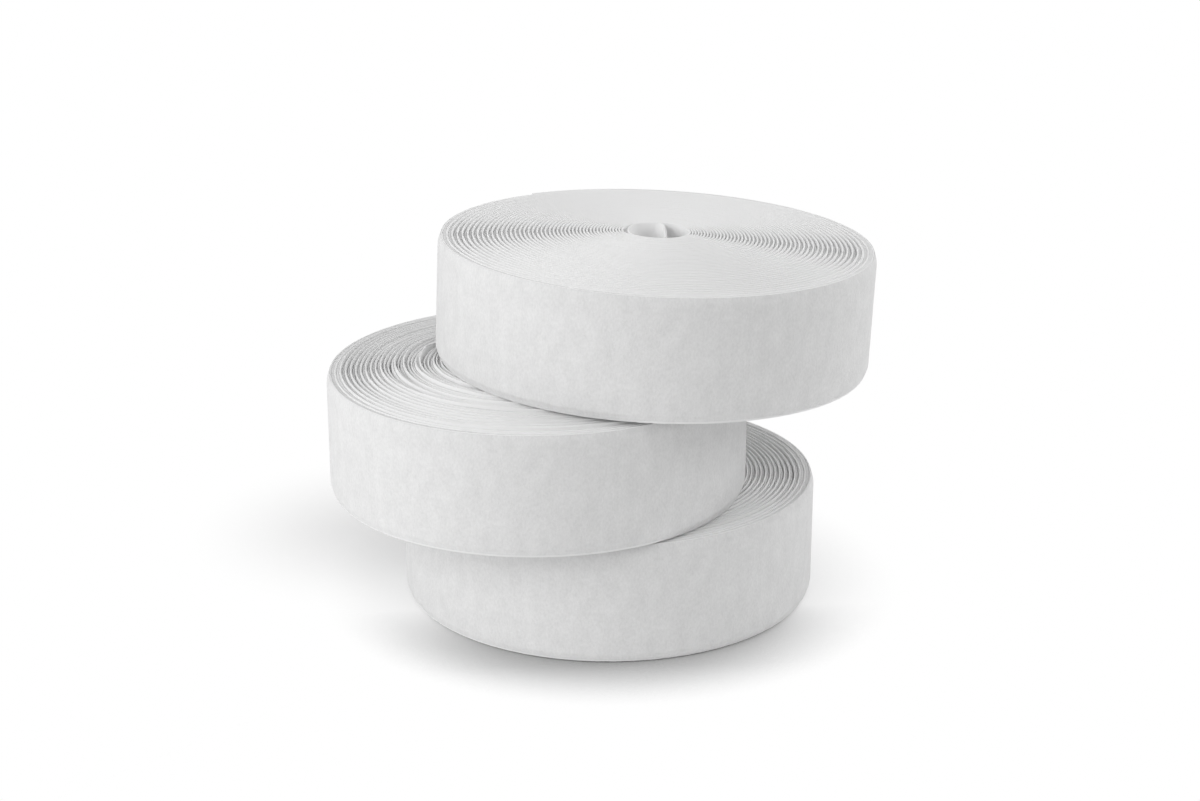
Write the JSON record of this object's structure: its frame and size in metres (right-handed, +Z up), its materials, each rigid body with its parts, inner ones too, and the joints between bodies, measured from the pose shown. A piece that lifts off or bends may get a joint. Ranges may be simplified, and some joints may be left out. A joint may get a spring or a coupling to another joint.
{
  "type": "hook and loop tape roll",
  "caption": "Stacked coreless rolls of white loop tape: a woven strip with a soft pile face, wound on itself, its inner end across the bore and its outer end free to peel.",
  "frame": {"origin": "under the middle of the stack, on the surface that the lowest roll stands on", "axes": "+Z up along the lowest roll's axis, +X along the longest reach of the stack, to the right as the picture sees it, +Y to the back"},
  "size_m": [0.2254, 0.1924, 0.1542],
  "materials": {
    "woven_ground": "matte white woven nylon",
    "loop_pile": "matte white napped loops"
  },
  "bodies": {
    "bottom_roll": {"bottom_tape": "woven_ground", "bottom_inner_end": "woven_ground", "bottom_pile": "loop_pile"},
    "bottom_free_end": {"bottom_tail_tape": "woven_ground", "bottom_tail_pile": "loop_pile"},
    "middle_roll": {"middle_tape": "woven_ground", "middle_inner_end": "woven_ground", "middle_pile": "loop_pile"},
    "middle_free_end": {"middle_tail_tape": "woven_ground", "middle_tail_pile": "loop_pile"},
    "top_roll": {"top_tape": "woven_ground", "top_inner_end": "woven_ground", "top_pile": "loop_pile"},
    "top_free_end": {"top_tail_tape": "woven_ground", "top_tail_pile": "loop_pile"}
  },
  "joints": [
    {"name": "middle_lift", "type": "slide", "parent": "bottom_roll", "child": "middle_roll", "axis": [0, 0, 1], "range_m": [0, 0.06]},
    {"name": "top_lift", "type": "slide", "parent": "middle_roll", "child": "top_roll", "axis": [0, 0, 1], "range_m": [0, 0.06]},
    {"name": "bottom_peel", "type": "hinge", "parent": "bottom_roll", "child": "bottom_free_end", "pos_m": [-0.0372, 0.08233, 0], "axis": [0, 0, -1], "range_deg": [0, 110]},
    {"name": "middle_peel", "type": "hinge", "parent": "middle_roll", "child": "middle_free_end", "pos_m": [-0.03194, 0.07751, 0.0503], "axis": [0, 0, -1], "range_deg": [0, 110]},
    {"name": "top_peel", "type": "hinge", "parent": "top_roll", "child": "top_free_end", "pos_m": [0.00184, 0.09387, 0.09948], "axis": [-0.0426, -0.013, -0.999], "range_deg": [0, 110]}
  ]
}
